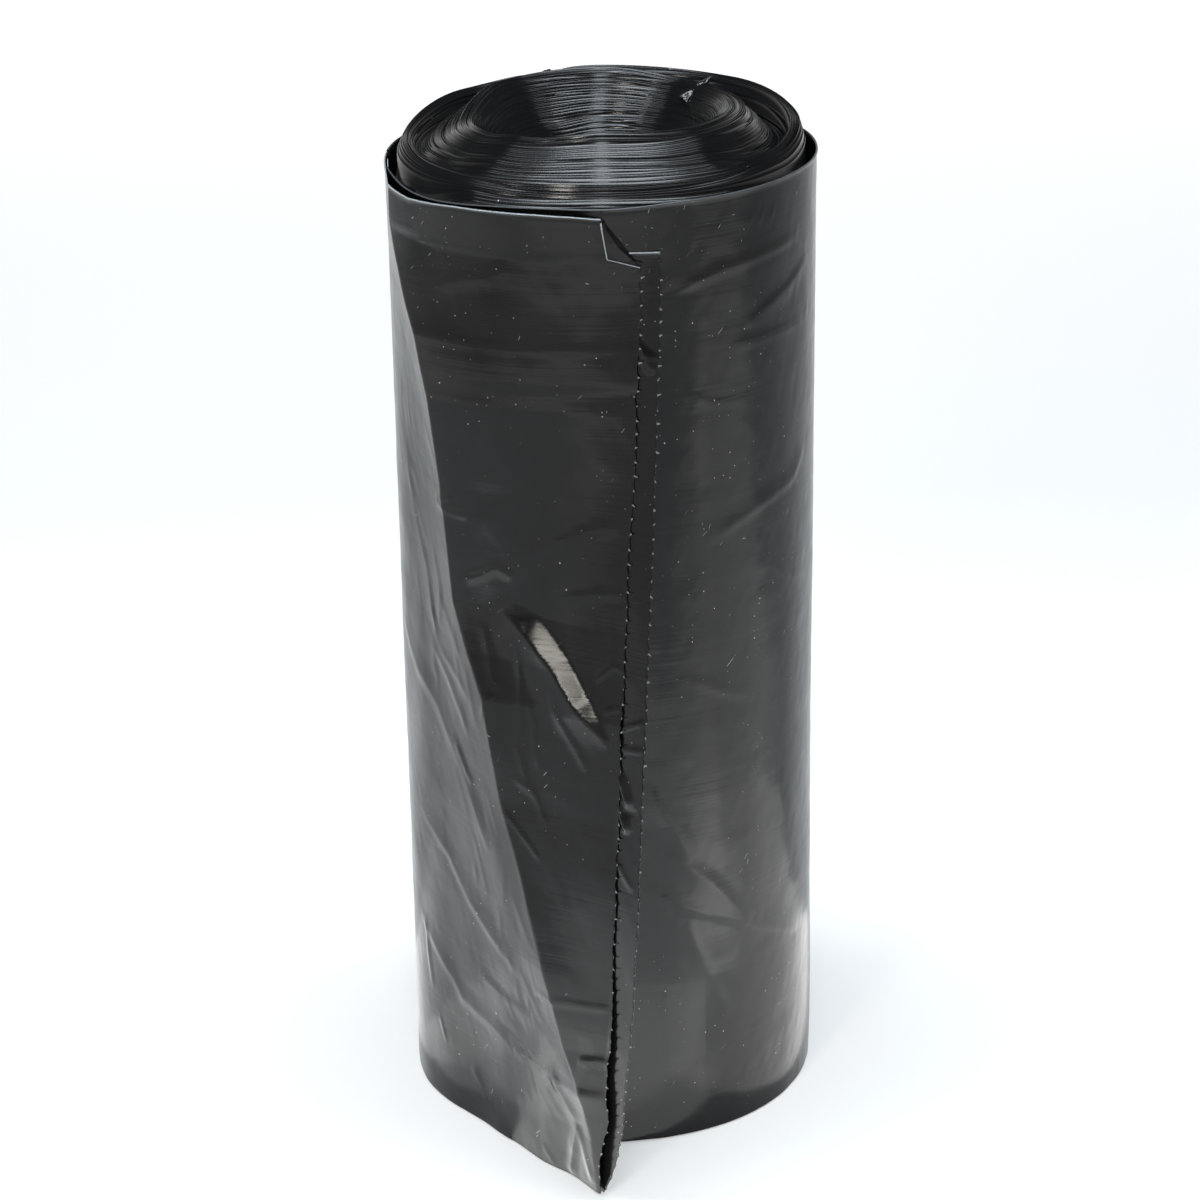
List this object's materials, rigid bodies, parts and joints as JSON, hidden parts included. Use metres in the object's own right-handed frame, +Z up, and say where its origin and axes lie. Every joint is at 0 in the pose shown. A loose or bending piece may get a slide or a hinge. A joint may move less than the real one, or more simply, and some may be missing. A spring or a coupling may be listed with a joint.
{
  "type": "bin bag roll",
  "caption": "Upright coreless roll of black film bin bags, wound round an open hollow, with its torn, perforated free end flaring away at the foot.",
  "frame": {"origin": "on the roll's axis, at the surface that the roll stands on", "axes": "+Z up the roll's axis, -Y towards the side where the free end hangs loose, +X to the right of that side"},
  "size_m": [0.148, 0.1823, 0.3683],
  "materials": {
    "black_film": "glossy blown film with fine lines along the web, creased and lightly dusty"
  },
  "bodies": {
    "root": {"bag_roll": "black_film"}
  },
  "joints": []
}
